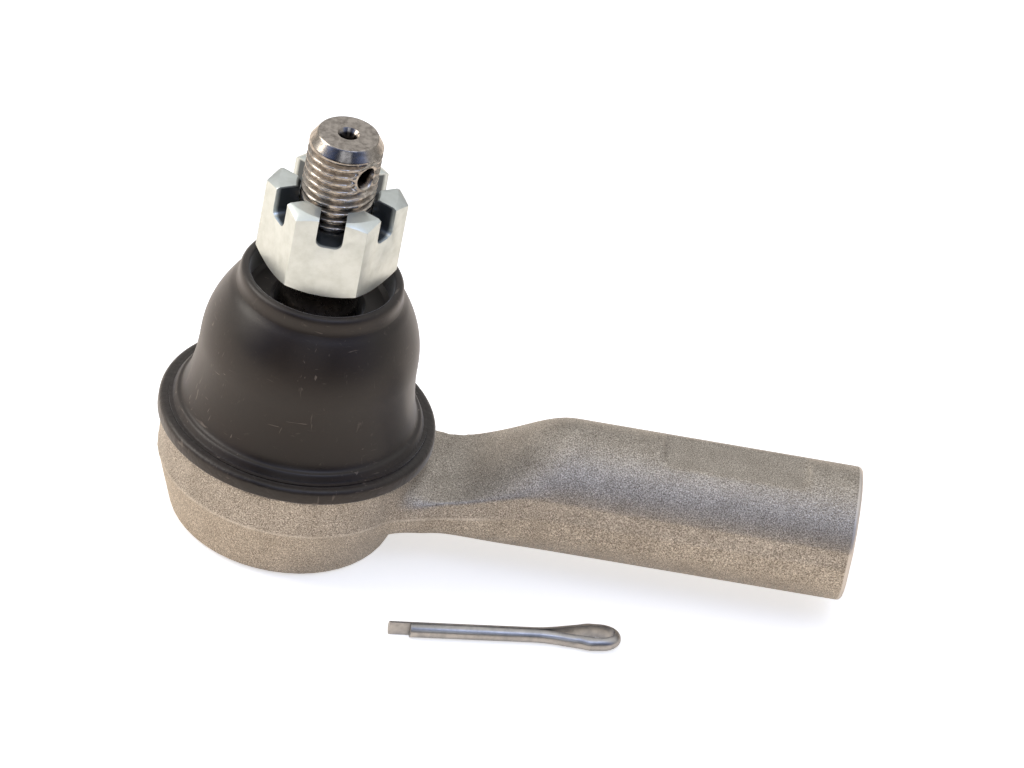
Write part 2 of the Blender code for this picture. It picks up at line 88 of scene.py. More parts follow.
camera_data = bpy.data.cameras.new("camera")
camera_data.sensor_width = SENSOR_WIDTH
camera_data.lens = FOCAL_PIXELS * SENSOR_WIDTH / IMAGE_WIDTH
camera_data.clip_start = 10 * MM
camera = bpy.data.objects.new("camera", camera_data)
bpy.context.scene.collection.objects.link(camera)
axes = Matrix(camera_axes()).transposed().to_4x4()
camera.matrix_world = Matrix.Translation(CAMERA_AIM + camera_axes()[2] * CAMERA_DISTANCE) @ axes
bpy.context.scene.camera = camera
print("lens", round(camera_data.lens, 1), "mm")

# %% [markdown]
# ## Helpers for materials
# A material is a tree of nodes. Colours are written as they look on a screen, and one function turns them
# into the linear values that a shader works in. Nodes could be placed by hand in the editor, but a script
# can be read and repeated, so one function adds a node and another feeds its inputs, by name or in order.
# A Map Range node's inputs in order are the value, the two ends it comes from and the two it goes to.

# %% Material helpers
def linear(hex_colour):
    """A screen colour as linear red, green, blue and alpha."""
    channels = [int(hex_colour[i:i + 2], 16) / 255 for i in (1, 3, 5)]
    return [c / 12.92 if c <= 0.04045 else ((c + 0.055) / 1.055) ** 2.4 for c in channels] + [1.0]


def feed(tree, node, inputs):
    """Give a node's inputs values, or link them to a socket or to another node's first output."""
    named = inputs if isinstance(inputs, dict) else dict(enumerate(inputs))
    for socket, value in named.items():
        if isinstance(value, bpy.types.Node):
            value = next(output for output in value.outputs if output.enabled)
        if isinstance(value, bpy.types.NodeSocket):
            tree.links.new(value, node.inputs[socket])
        else:
            node.inputs[socket].default_value = value


def add_node(tree, kind, inputs=(), stops=(), **settings):
    """Add a node, set its fields and its (place, hex colour) stops, and feed its inputs."""
    made = tree.nodes.new(kind)
    for field, value in settings.items():
        setattr(made, field, value)
    while stops and len(made.color_ramp.elements) < len(stops):
        made.color_ramp.elements.new(0.5)
    for i, (place, colour) in enumerate(stops):
        made.color_ramp.elements[i].position = place
        made.color_ramp.elements[i].color = linear(colour)
    feed(tree, made, inputs)
    return made


def start_material(name, **values):
    """A material with its shader's constant values set, and its tree, shader and Object coordinates."""
    look = bpy.data.materials.new(name)
    look.use_nodes = True
    tree = look.node_tree
    shader = tree.nodes["Principled BSDF"]
    for socket, value in values.items():
        shader.inputs[socket.replace("_", " ").title() if socket != "ior" else "IOR"].default_value = value
    place = add_node(tree, "ShaderNodeTexCoord").outputs["Object"]
    return look, tree, shader, place


def per_metre(millimetres):
    """The texture scale that gives a feature of about this size."""
    return 1 / (millimetres * MM)


def dress(piece, look):
    """Give a piece or a solid one material."""
    piece.data.materials.clear()
    piece.data.materials.append(look)


# %% [markdown]
# ## Blasted forged steel
# The socket is forged, trimmed and shot-blasted: warm grey steel covered in tiny dents, each of which
# throws its own glint. A photographed texture could be wrapped round it, but noise in real sizes has no
# seams. Two noises give dents and blotches, a thin bright line shows where the two dies met, and the end
# of the shank is faced, so it is smooth. Blast dents are about a tenth of a millimetre wide, which is too
# fine to show, so they are drawn about twice as coarse.

# %% Blasted forged steel
DENT_MM = 0.19
DENT_DEPTH = 0.12 * MM
DENT_TONES = [(0.28, "#645f59"), (0.46, "#aca69e"), (0.57, "#d8d2ca"), (0.69, "#fffcf8")]
BLOTCH_MM = 4.0
BLOTCH_TONES = [(0.35, "#efedea"), (0.65, "#fffefc")]
# Painted light: below the die line, where faces tilt down to the warm floor, the steel is lighter and
# warmer.
BELOW_LINE_LIGHT_TONES = [(0.0, "#f6f5f3"), (1.0, "#fffcf6")]
DIE_BLEND = 0.5 * MM
LINE_TONE = "#e9e3da"
LINE_Z = (10.7 * MM, 14.3 * MM)
LINE_CLIMB_X = (23.5 * MM, 44.5 * MM)
LINE_FADE_X = (30 * MM, 40 * MM)
LINE_CORE = 0.12 * MM
LINE_HALF_WIDTH = 0.34 * MM
LINE_STRENGTH = 0.55
FACED_X = (90.4 * MM, 90.55 * MM)
FACED_TONE = "#e4ded7"


def parting_line(tree, along, height):
    """How strongly the die line shows, and which places are below it.

    The line is level round the head, then climbs along the neck and fades."""
    climb = add_node(tree, "ShaderNodeMapRange", (along, *LINE_CLIMB_X, *LINE_Z),
                     interpolation_type="SMOOTHSTEP")
    above = add_node(tree, "ShaderNodeMath", (height, climb), operation="SUBTRACT")
    off = add_node(tree, "ShaderNodeMath", (above,), operation="ABSOLUTE")
    width = add_node(tree, "ShaderNodeMapRange", (off, LINE_CORE, LINE_HALF_WIDTH, 1.0, 0.0))
    fade = add_node(tree, "ShaderNodeMapRange", (along, *LINE_FADE_X, LINE_STRENGTH, 0.0))
    line = add_node(tree, "ShaderNodeMath", (width, fade), operation="MULTIPLY")
    below = add_node(tree, "ShaderNodeMapRange", (above, DIE_BLEND, -DIE_BLEND))
    return line, below


def blasted_steel():
    """Warm grey, rough and grainy metal."""
    look, tree, shader, place = start_material("blasted_forged_steel", metallic=0.75)
    spot = add_node(tree, "ShaderNodeSeparateXYZ", (place,)).outputs
    dents = add_node(tree, "ShaderNodeTexNoise",
                     {"Vector": place, "Scale": per_metre(DENT_MM), "Detail": 3.0, "Roughness": 0.65})
    blotch = add_node(tree, "ShaderNodeTexNoise",
                      {"Vector": place, "Scale": per_metre(BLOTCH_MM), "Detail": 4.0})
    line, below = parting_line(tree, spot["X"], spot["Z"])
    broken = add_node(tree, "ShaderNodeMapRange", (blotch, 0.35, 0.65, 0.4, 1.0))
    shown = add_node(tree, "ShaderNodeMath", (line, broken), operation="MULTIPLY")
    faced = add_node(tree, "ShaderNodeMapRange", (spot["X"], *FACED_X))
    colour = add_node(tree, "ShaderNodeValToRGB", (dents,), DENT_TONES)
    cast = add_node(tree, "ShaderNodeValToRGB", (blotch,), BLOTCH_TONES)
    # Painted floor light: the steel below the die line is made lighter and warmer.
    below_line_light = add_node(tree, "ShaderNodeValToRGB", (below,), BELOW_LINE_LIGHT_TONES)
    for amount, tone, blend in ((1.0, cast, "MULTIPLY"), (1.0, below_line_light, "MULTIPLY"),
                                (shown, linear(LINE_TONE), "MIX"), (faced, linear(FACED_TONE), "MIX")):
        colour = add_node(tree, "ShaderNodeMix", {0: amount, 6: colour, 7: tone},
                          data_type="RGBA", blend_type=blend)
    rough = add_node(tree, "ShaderNodeMapRange", (dents, 0.3, 0.7, 0.47, 0.32))
    blasted = add_node(tree, "ShaderNodeMapRange", (spot["X"], *FACED_X, 0.8, 0.1))
    bump = add_node(tree, "ShaderNodeBump", {"Height": dents, "Strength": blasted, "Distance": DENT_DEPTH})
    feed(tree, shader, {"Base Color": colour, "Roughness": rough, "Normal": bump})
    return look


forged = blasted_steel()
print("blasted steel nodes", len(forged.node_tree.nodes))

# %% [markdown]
# ## Moulded rubber
# The boot is carbon-black rubber from a polished mould: a brown-black with a satin sheen, a little dust,
# and pale scuffs and scratches from handling. Scratches could be painted on, but a noise that is stretched
# along one axis draws them at any size. Its foot was squeezed into a groove, so a second, coarser bump
# roughens it there.

# %% Moulded rubber
RUBBER_TONES = [(0.3, "#17100c"), (0.7, "#231913")]
SCUFF_TONE = "#6d635a"
SCRATCH_TONE = "#988d82"
CLOUD_MM = 9.0
SCUFF_MM = 2.6
SCRATCH_MM = 4.0
SCRATCH_STRETCHES = ((1.0, 1.0, 9.0), (5.0, 5.0, 0.9))
GRIT_MM = 0.5
GRIT_DEPTH = 0.05 * MM
LUMP_MM = 1.6
LUMP_DEPTH = 0.25 * MM
FOOT_TOP = 21.6 * MM


def scratched(tree, place, colour, strength, stretch):
    """A colour with pale scratches, drawn out along the axes whose stretch is small."""
    drawn = add_node(tree, "ShaderNodeMapping", {"Vector": place, "Scale": stretch})
    lines = add_node(tree, "ShaderNodeTexNoise",
                     {"Vector": drawn, "Scale": per_metre(SCRATCH_MM), "Detail": 2.0, "Distortion": 0.6})
    marks = add_node(tree, "ShaderNodeMapRange", (lines, 0.67, 0.74))
    shown = add_node(tree, "ShaderNodeMath", (marks, strength), operation="MULTIPLY")
    return add_node(tree, "ShaderNodeMix", {0: shown, 6: colour, 7: linear(SCRATCH_TONE)}, data_type="RGBA")


def moulded_rubber():
    """Brown-black satin rubber with dust, scuffs and scratches."""
    look, tree, shader, place = start_material("moulded_rubber", ior=1.5,
                                               sheen_weight=0.52, sheen_roughness=0.4)
    height = add_node(tree, "ShaderNodeSeparateXYZ", (place,)).outputs["Z"]
    cloud = add_node(tree, "ShaderNodeTexNoise",
                     {"Vector": place, "Scale": per_metre(CLOUD_MM), "Detail": 5.0})
    scuff = add_node(tree, "ShaderNodeTexNoise",
                     {"Vector": place, "Scale": per_metre(SCUFF_MM), "Detail": 9.0,
                      "Roughness": 0.72, "Distortion": 1.2})
    scuffed = add_node(tree, "ShaderNodeMapRange", (scuff, 0.62, 0.74, 0.0, 0.4))
    handled = add_node(tree, "ShaderNodeMapRange", (cloud, 0.45, 0.6, 0.0, 0.42))
    colour = add_node(tree, "ShaderNodeValToRGB", (cloud,), RUBBER_TONES)
    colour = add_node(tree, "ShaderNodeMix", {0: scuffed, 6: colour, 7: linear(SCUFF_TONE)},
                      data_type="RGBA")
    for stretch in SCRATCH_STRETCHES:
        colour = scratched(tree, place, colour, handled, stretch)
    rough = add_node(tree, "ShaderNodeMapRange", (cloud, 0.3, 0.7, 0.36, 0.48))
    grit = add_node(tree, "ShaderNodeTexNoise",
                    {"Vector": place, "Scale": per_metre(GRIT_MM), "Detail": 3.0})
    fine = add_node(tree, "ShaderNodeBump", {"Height": grit, "Strength": 0.15, "Distance": GRIT_DEPTH})
    lumps = add_node(tree, "ShaderNodeTexNoise",
                     {"Vector": place, "Scale": per_metre(LUMP_MM), "Detail": 4.0})
    foot = add_node(tree, "ShaderNodeMapRange", (height, FOOT_TOP - MM, FOOT_TOP, 0.55, 0.0))
    bump = add_node(tree, "ShaderNodeBump",
                    {"Height": lumps, "Strength": foot, "Distance": LUMP_DEPTH, "Normal": fine})
    feed(tree, shader, {"Base Color": colour, "Roughness": rough, "Normal": bump})
    return look


rubber = moulded_rubber()
print("rubber nodes", len(rubber.node_tree.nodes))

# %% [markdown]
# ## Bright metals and plastic
# The nut is zinc-plated and passivated, a creamy near-white. The stud is turned and rolled steel, greyer
# and darker in its grooves. The pin is drawn wire with a thin plate, and the seats are moulded acetal. Each
# could have a recipe of its own, but they share one: a colour and a roughness that wander a little, with
# faint marks. Two more functions then dull the stud's faced top and paint shade, as a darker colour, into
# slots, bores and drilled holes.

# %% Bright metals and plastic
MARK_DEPTH = 0.05 * MM


def bright_metal(name, dark, pale, smoothest, roughest, mark_mm, bump_strength, metallic=1.0):
    """A plated, turned or moulded surface with small marks."""
    look, tree, shader, place = start_material(name, metallic=metallic)
    marks = add_node(tree, "ShaderNodeTexNoise",
                     {"Vector": place, "Scale": per_metre(mark_mm), "Detail": 6.0, "Roughness": 0.6})
    colour = add_node(tree, "ShaderNodeValToRGB", (marks,), [(0.3, dark), (0.6, pale)])
    rough = add_node(tree, "ShaderNodeMapRange", (marks, 0.3, 0.7, roughest, smoothest))
    bump = add_node(tree, "ShaderNodeBump",
                    {"Height": marks, "Strength": bump_strength, "Distance": MARK_DEPTH})
    feed(tree, shader, {"Base Color": colour, "Roughness": rough, "Normal": bump})
    return look


def dull_faces(look, dull_rough):
    """Make the faces that point up duller than the turned ones."""
    tree = look.node_tree
    shader = tree.nodes["Principled BSDF"]
    turned_rough = shader.inputs["Roughness"].links[0].from_socket
    facing = add_node(tree, "ShaderNodeTexCoord").outputs["Normal"]
    rise = add_node(tree, "ShaderNodeSeparateXYZ", (facing,)).outputs["Z"]
    up = add_node(tree, "ShaderNodeMapRange", (rise, 0.88, 0.97))
    rough = add_node(tree, "ShaderNodeMix", {0: up, 2: turned_rough, 3: dull_rough}, data_type="FLOAT")
    feed(tree, shader, {"Roughness": rough})


def paint_hollow_shade(look, dark, near, far, below):
    """Paint shade near a piece's axis and under a height: in slots, bores and drilled holes."""
    tree = look.node_tree
    shader = tree.nodes["Principled BSDF"]
    plated = shader.inputs["Base Color"].links[0].from_socket
    place = add_node(tree, "ShaderNodeTexCoord").outputs["Object"]
    flat = add_node(tree, "ShaderNodeVectorMath", (place, (1, 1, 0)), operation="MULTIPLY")
    radius = add_node(tree, "ShaderNodeVectorMath", (flat,), operation="LENGTH")
    inner = add_node(tree, "ShaderNodeMapRange", (radius, near, far, 1.0, 0.0))
    height = add_node(tree, "ShaderNodeSeparateXYZ", (place,)).outputs["Z"]
    under = add_node(tree, "ShaderNodeMapRange", (height, below - 0.3 * MM, below, 1.0, 0.0))
    shade_mask = add_node(tree, "ShaderNodeMath", (inner, under), operation="MULTIPLY")
    colour = add_node(tree, "ShaderNodeMix", {0: shade_mask, 6: plated, 7: linear(dark)}, data_type="RGBA")
    feed(tree, shader, {"Base Color": colour})


zinc = bright_metal("zinc_plate", "#d6dedb", "#e3ebea", 0.28, 0.4, 2.2, 0.05, 0.8)
stud_steel = bright_metal("turned_steel", "#8a847e", "#c0bab3", 0.16, 0.3, 0.8, 0.08)
dull_faces(stud_steel, 0.55)
# Painted shade: the nut's slots and bore and the stud's drilled holes are painted darker.
paint_hollow_shade(zinc, "#60666a", 9.1 * MM, 9.6 * MM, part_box("castle_nut")[1][2] - 0.1 * MM)
paint_hollow_shade(stud_steel, "#322d29", 4.4 * MM, 4.9 * MM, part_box("ball_stud")[1][2] - 0.4 * MM)
stamped_steel = bright_metal("stamped_steel", "#8f8b86", "#b5b0aa", 0.3, 0.45, 1.6, 0.1)
wire_steel = bright_metal("drawn_wire", "#a5a5a6", "#bebdbc", 0.3, 0.4, 1.4, 0.05)
spring_steel = bright_metal("spring_steel", "#3c3f45", "#5b5f66", 0.3, 0.45, 1.0, 0.1)
acetal = bright_metal("moulded_acetal", "#d8d4c6", "#e7e3d6", 0.4, 0.5, 2.0, 0.05, 0.0)
print("materials", len(bpy.data.materials))

# %% [markdown]
# ## Helpers for modelling
# Everything is modelled as by hand: a primitive is added, or a solid is copied, then shaped in edit mode
# and finished with modifiers that are applied. An operator acts on all that is selected, so everything is
# deselected first.

# %% Modelling helpers
MERGE_GAP = 0.002 * MM


def deselect():
    """Leave edit mode and select nothing."""
    if bpy.context.object and bpy.context.object.mode != "OBJECT":
        bpy.ops.object.mode_set(mode="OBJECT")
    bpy.ops.object.select_all(action="DESELECT")


def only(piece):
    """Select one piece and make it the active one."""
    deselect()
    piece.select_set(True)
    bpy.context.view_layer.objects.active = piece
    return piece


def apply_all(piece):
    """Apply every modifier of a piece, in order."""
    only(piece)
    for step in list(piece.modifiers):
        bpy.ops.object.modifier_apply(modifier=step.name)
    return piece


def merged_copy(node, name):
    """A copy of a node's solid, with its loose triangles joined."""
    piece = bpy.data.objects.new(name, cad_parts[node].data.copy())
    bpy.context.scene.collection.objects.link(piece)
    only(piece)
    bpy.ops.object.mode_set(mode="EDIT")
    bpy.ops.mesh.select_all(action="SELECT")
    bpy.ops.mesh.remove_doubles(threshold=MERGE_GAP)
    bpy.ops.object.mode_set(mode="OBJECT")
    return piece


# %% [markdown]
# ## Socket
# The socket is one forging: head, neck and shank. Its corners are all softly rounded, which a bevel could
# give one edge at a time, but hammering and blasting round them all at once. So its solid is copied and
# remeshed into even small faces, which a smoothing modifier then rounds. The corner between neck and head
# is smoothed much longer, because metal that flows round a die leaves a wide fillet there.

# %% Rounded forging
SOCKET_FACE = 0.43 * MM
ROUND_PASSES = 3
FILLET_PASSES = 110
FOOT_R, HEAD_R = 18.4 * MM, 21.3 * MM
FILLET_REACH = 4.5 * MM
FILLET_HALF_WIDTH = 15 * MM
FILLET_LOW = 3.5 * MM


def relax(piece, passes, group=""):
    """Round a mesh by moving vertices halfway toward their neighbours, some number of times."""
    step = piece.modifiers.new("relax", "SMOOTH")
    step.factor = 0.5
    step.iterations = passes
    step.vertex_group = group
    return apply_all(piece)


def fill_corner(piece):
    """Smooth the corner between neck and head into a fillet."""
    fillet = piece.vertex_groups.new(name="fillet")
    for vert in piece.data.vertices:
        wall = FOOT_R + (HEAD_R - FOOT_R) * min(1.0, vert.co.z / LINE_Z[0])
        gap = abs(hypot(vert.co.x, vert.co.y) - wall)
        beside_neck = vert.co.x > 0 and abs(vert.co.y) < FILLET_HALF_WIDTH and vert.co.z > FILLET_LOW
        if gap < FILLET_REACH and beside_neck:
            fillet.add([vert.index], min(1.0, 2 - 2 * gap / FILLET_REACH), "REPLACE")
    relax(piece, FILLET_PASSES, "fillet")


# %% [markdown]
# The two dies leave a fine ridge round the head, and the bore of the shank is tapped. Both could be cut
# with Booleans, but the faces are small enough to move: outward along the ridge, and in and out along the
# thread's helix.

# %% Die line and tapped thread
DIE_RIDGE = 0.12 * MM
SHANK_Z = 14.3 * MM
TAP_R = 6.55 * MM
TAP_X = (48 * MM, 90 * MM)
TAP_PITCH = 1.5 * MM
TAP_DEPTH = 0.38 * MM
TAP_REACH = 0.5 * MM


def raise_die_line(piece):
    """Raise a fine ridge round the head where the dies met."""
    for vert in piece.data.vertices:
        radius = hypot(vert.co.x, vert.co.y)
        off = abs(vert.co.z - LINE_Z[0]) / (2 * LINE_HALF_WIDTH)
        if abs(radius - HEAD_R) < MM and off < 1:
            grow = 1 + DIE_RIDGE * (1 - off) / radius
            vert.co.x *= grow
            vert.co.y *= grow


def tapped_radius(along, turn):
    """Radius of the tapped thread at a place along the shank and an angle about its axis."""
    phase = along / TAP_PITCH - turn / (2 * pi)
    return TAP_R + TAP_DEPTH * cos(2 * pi * phase)


def tap_shank(piece):
    """Move the wall of the bore in and out along a helix."""
    for vert in piece.data.vertices:
        up = vert.co.z - SHANK_Z
        radius = hypot(vert.co.y, up)
        if TAP_X[0] < vert.co.x < TAP_X[1] and abs(radius - TAP_R) < TAP_REACH:
            wanted = tapped_radius(vert.co.x, atan2(up, vert.co.y)) / radius
            vert.co.y *= wanted
            vert.co.z = SHANK_Z + up * wanted


def make_socket():
    """The forging, from a copy of the housing's solid."""
    piece = merged_copy("socket_housing", "forged_socket")
    grid = piece.modifiers.new("grid", "REMESH")
    grid.mode = "VOXEL"
    grid.voxel_size = SOCKET_FACE
    apply_all(piece)
    relax(piece, ROUND_PASSES)
    fill_corner(piece)
    raise_die_line(piece)
    tap_shank(piece)
    only(piece)
    bpy.ops.object.shade_smooth()
    dress(piece, forged)
    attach(piece, "socket")
    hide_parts("socket_housing")
    return piece


socket = make_socket()
print("socket faces", len(socket.data.polygons))

# %% [markdown]
# ## Helpers for turned pieces
# Stud, nut and boot are turned or moulded round an axis. A Screw modifier could spin their outlines, but
# the spin operator shows each step: one vertex is extruded along the outline, and the outline is spun.

# %% Turning helpers
def turned(name, outline, sides):
    """Extrude a vertex along an outline of (radius, height) points and spin it about Z."""
    deselect()
    bpy.ops.mesh.primitive_plane_add(size=MM)
    piece = bpy.context.object
    piece.name = name
    bpy.ops.object.mode_set(mode="EDIT")
    bpy.ops.mesh.select_all(action="SELECT")
    bpy.ops.mesh.merge(type="CENTER")
    here = Vector((outline[0][0], 0.0, outline[0][1]))
    bpy.ops.transform.translate(value=here)
    for radius, height in outline[1:]:
        there = Vector((radius, 0.0, height))
        bpy.ops.mesh.extrude_vertices_move(TRANSFORM_OT_translate={"value": there - here})
        here = there
    bpy.ops.mesh.select_all(action="SELECT")
    bpy.ops.mesh.spin(steps=sides, angle=2 * pi, center=(0, 0, 0), axis=(0, 0, 1))
    bpy.ops.mesh.select_all(action="SELECT")
    bpy.ops.mesh.remove_doubles(threshold=MERGE_GAP)
    bpy.ops.mesh.normals_make_consistent(inside=False)
    bpy.ops.object.mode_set(mode="OBJECT")
    return piece


def cut(piece, cutter, operation="DIFFERENCE"):
    """Cut or trim a piece with another, and delete the other."""
    step = piece.modifiers.new("cut", "BOOLEAN")
    step.operation = operation
    step.solver = "EXACT"
    step.object = cutter
    apply_all(piece)
    bpy.data.objects.remove(cutter, do_unlink=True)
    return piece


def smooth(piece, angle=35):
    """Shade smooth, with edges sharper than the angle kept."""
    only(piece)
    bpy.ops.object.shade_smooth_by_angle(angle=radians(angle))
    return piece


def arc(centre_r, centre_z, radius, first, last, steps):
    """Outline points on an arc, by angle in degrees from the outward radius."""
    angles = [radians(first + (last - first) * i / steps) for i in range(steps + 1)]
    return [(centre_r + radius * cos(a), centre_z + radius * sin(a)) for a in angles]


def share(value, start, length):
    """How far a value has come along a stretch, from 0 to 1."""
    return min(1.0, max(0.0, (value - start) / length))


# %% [markdown]
# ## Stud
# The stud is one turned piece: ball, neck, taper and a rolled thread with a centre drilled in its top. The
# thread could be a spring-shaped sweep joined to the stud, but a sweep leaves seams. So the thread zone
# gets many rows of vertices, and each vertex is moved in or out by how far up the helix it lies. Round the
# pin hole the thread is spotted flat, so the drilled rim is clean.

# %% Stud sizes
STUD_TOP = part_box("ball_stud")[1][2]
STUD_SIDES = 96
BALL_Z = 16.0 * MM
BALL_R = 10.0 * MM
BALL_FLAT = 8.2 * MM
NECK_R = 5.3 * MM
NECK_TOP_Z = 31.8 * MM
TAPER_FOOT = (6.69 * MM, 35.0 * MM)
THREAD_FOOT_Z = 48.0 * MM
THREAD_ROWS = 15
PITCH = 1.4 * MM
CREST_R = 5.92 * MM
CREST_SHARE, FLANK_SHARE = 0.16, 0.68
ROOT_R = 5.05 * MM
TOP_FACE_R = 4.8 * MM
TOP_CHAMFER = 1.83 * MM
CHAMFER_ROWS = (0.25 * MM, 0.9 * MM, 1.6 * MM)
EDGE_BREAK = 0.06 * MM
HOLE_R = 1.75 * MM
HOLE_BELOW_TOP = 5.4 * MM
HOLE_TURN = radians(-43)
SPOT_R = 5.5 * MM
SPOT_REACH = 2.4 * MM
SPOT_EDGE = 0.6 * MM
SINK_DEPTH = 0.8 * MM
SINK_SLOPE = 0.75
DRILL_REACH = 9 * MM


# %% Stud outline and thread
def stud_outline():
    """The stud from the drill point in its top face down to the ball's flat."""
    outline = [(0.0, STUD_TOP - 3.4 * MM), (0.8 * MM, STUD_TOP - 3.0 * MM), (0.8 * MM, STUD_TOP - 1.6 * MM)]
    outline += [(0.85 * MM, STUD_TOP - 1.5 * MM), (1.65 * MM, STUD_TOP - 0.12 * MM)]
    outline += [(1.75 * MM, STUD_TOP), (1.9 * MM, STUD_TOP), (TOP_FACE_R - 0.25 * MM, STUD_TOP)]
    chamfer_foot = STUD_TOP - TOP_CHAMFER
    lean = (CREST_R - TOP_FACE_R) / TOP_CHAMFER
    outline += [(TOP_FACE_R - EDGE_BREAK, STUD_TOP), (TOP_FACE_R + EDGE_BREAK, STUD_TOP - 0.1 * MM)]
    outline += [(TOP_FACE_R + lean * down, STUD_TOP - down) for down in CHAMFER_ROWS]
    outline.append((CREST_R, chamfer_foot))
    rows = round((chamfer_foot - THREAD_FOOT_Z) / PITCH * THREAD_ROWS)
    step = (chamfer_foot - THREAD_FOOT_Z) / rows
    outline += [(CREST_R, chamfer_foot - step * i) for i in range(1, rows + 1)]
    outline += [TAPER_FOOT, (TAPER_FOOT[0] - 0.3 * MM, TAPER_FOOT[1] - 0.5 * MM), (NECK_R, NECK_TOP_Z)]
    first = atan2((BALL_R ** 2 - NECK_R ** 2) ** 0.5, NECK_R)
    last = atan2(-BALL_FLAT, (BALL_R ** 2 - BALL_FLAT ** 2) ** 0.5)
    outline += arc(0.0, BALL_Z, BALL_R, first * 180 / pi, last * 180 / pi, 40)
    outline.append((0.0, BALL_Z - BALL_FLAT))
    return outline


def thread_radius(height, turn):
    """Radius of the rolled thread at a height and an angle about the axis."""
    phase = (height - THREAD_FOOT_Z) / PITCH - turn / (2 * pi)
    phase -= floor(phase)
    depth = share(abs(2 * phase - 1), CREST_SHARE, FLANK_SHARE)
    depth = depth * depth * (3 - 2 * depth)
    run_in = share(STUD_TOP - TOP_CHAMFER, height, 0.6 * PITCH)
    run_out = share(height, THREAD_FOOT_Z, PITCH)
    cut_radius = CREST_R - (CREST_R - ROOT_R) * depth * run_in * run_out
    aside = CREST_R * sin(turn - HOLE_TURN)
    from_hole = hypot(aside, height - STUD_TOP + HOLE_BELOW_TOP)
    return SPOT_R + (cut_radius - SPOT_R) * share(from_hole, SPOT_REACH, SPOT_EDGE)


# %% Stud
def pin_drill():
    """A drill across the stud that also countersinks both ends of its hole."""
    deep = CREST_R - SINK_DEPTH
    wide = HOLE_R + SINK_SLOPE * (DRILL_REACH - deep)
    drill = turned("drill", [(0.0, DRILL_REACH), (wide, DRILL_REACH), (HOLE_R, deep),
                             (HOLE_R, -deep), (wide, -DRILL_REACH), (0.0, -DRILL_REACH)], 48)
    drill.data.transform(Matrix.Translation((0, 0, STUD_TOP - HOLE_BELOW_TOP))
                         @ Matrix.Rotation(HOLE_TURN, 4, "Z") @ Matrix.Rotation(pi / 2, 4, "Y"))
    return drill


def make_stud():
    """The stud with its thread rolled and its pin hole drilled."""
    piece = turned("ball_stud_turned", stud_outline(), STUD_SIDES)
    for vert in piece.data.vertices:
        radius = hypot(vert.co.x, vert.co.y)
        if THREAD_FOOT_Z < vert.co.z < STUD_TOP - TOP_CHAMFER - 1e-6 and radius > ROOT_R:
            wanted = thread_radius(vert.co.z, atan2(vert.co.y, vert.co.x))
            vert.co.x *= wanted / radius
            vert.co.y *= wanted / radius
    cut(piece, pin_drill())
    smooth(piece, 40)
    dress(piece, stud_steel)
    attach(piece, "stud")
    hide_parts("ball_stud")
    return piece


stud = make_stud()
print("stud faces", len(stud.data.polygons))

# %% [markdown]
# ## Castle nut
# A castle nut is cut from hexagon bar, so it is made in the same order: a bar is trimmed by a cone at each
# end, bored, and slotted across its flats. It could be built face by face, but cutting keeps each size as
# one number. A small bevel then breaks every edge, because plated nuts have no sharp ones.

# %% Nut sizes and cutters
NUT_LOW, NUT_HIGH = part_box("castle_nut")[0][2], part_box("castle_nut")[1][2]
NUT_CORNER_R = 19.6 * MM / 2 / cos(pi / 6)
NUT_TURN = radians(-91)
NUT_CONE_R = 9.5 * MM
NUT_CONE_SLOPE = 0.55
NUT_BORE_R = 6.05 * MM
NUT_FLARE = 0.7 * MM
NUT_EDGE = 0.16 * MM
BAR_SPARE = 4 * MM
SLOT_WIDTH = 4.2 * MM
SLOT_DEPTH = 5.0 * MM
SLOT_ROUND = 1.2 * MM


def bevel(piece, width, segments, angle=30):
    """Round the edges that are sharper than an angle."""
    step = piece.modifiers.new("edges", "BEVEL")
    step.width = width
    step.segments = segments
    step.limit_method = "ANGLE"
    step.angle_limit = radians(angle)
    return apply_all(piece)


def nut_cones():
    """Two cones, foot to foot, that leave the nut's ends round."""
    reach = NUT_CORNER_R + 1 * MM
    drop = (reach - NUT_CONE_R) * NUT_CONE_SLOPE
    return turned("cones", [(0, NUT_HIGH), (NUT_CONE_R, NUT_HIGH), (reach, NUT_HIGH - drop),
                            (reach, NUT_LOW + drop), (NUT_CONE_R, NUT_LOW), (0, NUT_LOW)], 96)


def nut_bore():
    """A bore that flares at both ends."""
    wide = NUT_BORE_R + NUT_FLARE
    return turned("bore", [(0, NUT_HIGH + MM), (wide, NUT_HIGH + MM), (wide, NUT_HIGH),
                           (NUT_BORE_R, NUT_HIGH - NUT_FLARE), (NUT_BORE_R, NUT_LOW + NUT_FLARE),
                           (wide, NUT_LOW), (wide, NUT_LOW - MM), (0, NUT_LOW - MM)], 64)


def nut_slot(turn):
    """A round-bottomed slot across the top of the nut."""
    deselect()
    bpy.ops.mesh.primitive_cube_add(size=1)
    slot = bpy.context.object
    slot.data.transform(Matrix.Diagonal((3 * NUT_CORNER_R, SLOT_WIDTH, 2 * SLOT_DEPTH, 1)))
    bevel(slot, SLOT_ROUND, 5)
    slot.data.transform(Matrix.Translation((0, 0, NUT_HIGH)) @ Matrix.Rotation(turn, 4, "Z"))
    return slot


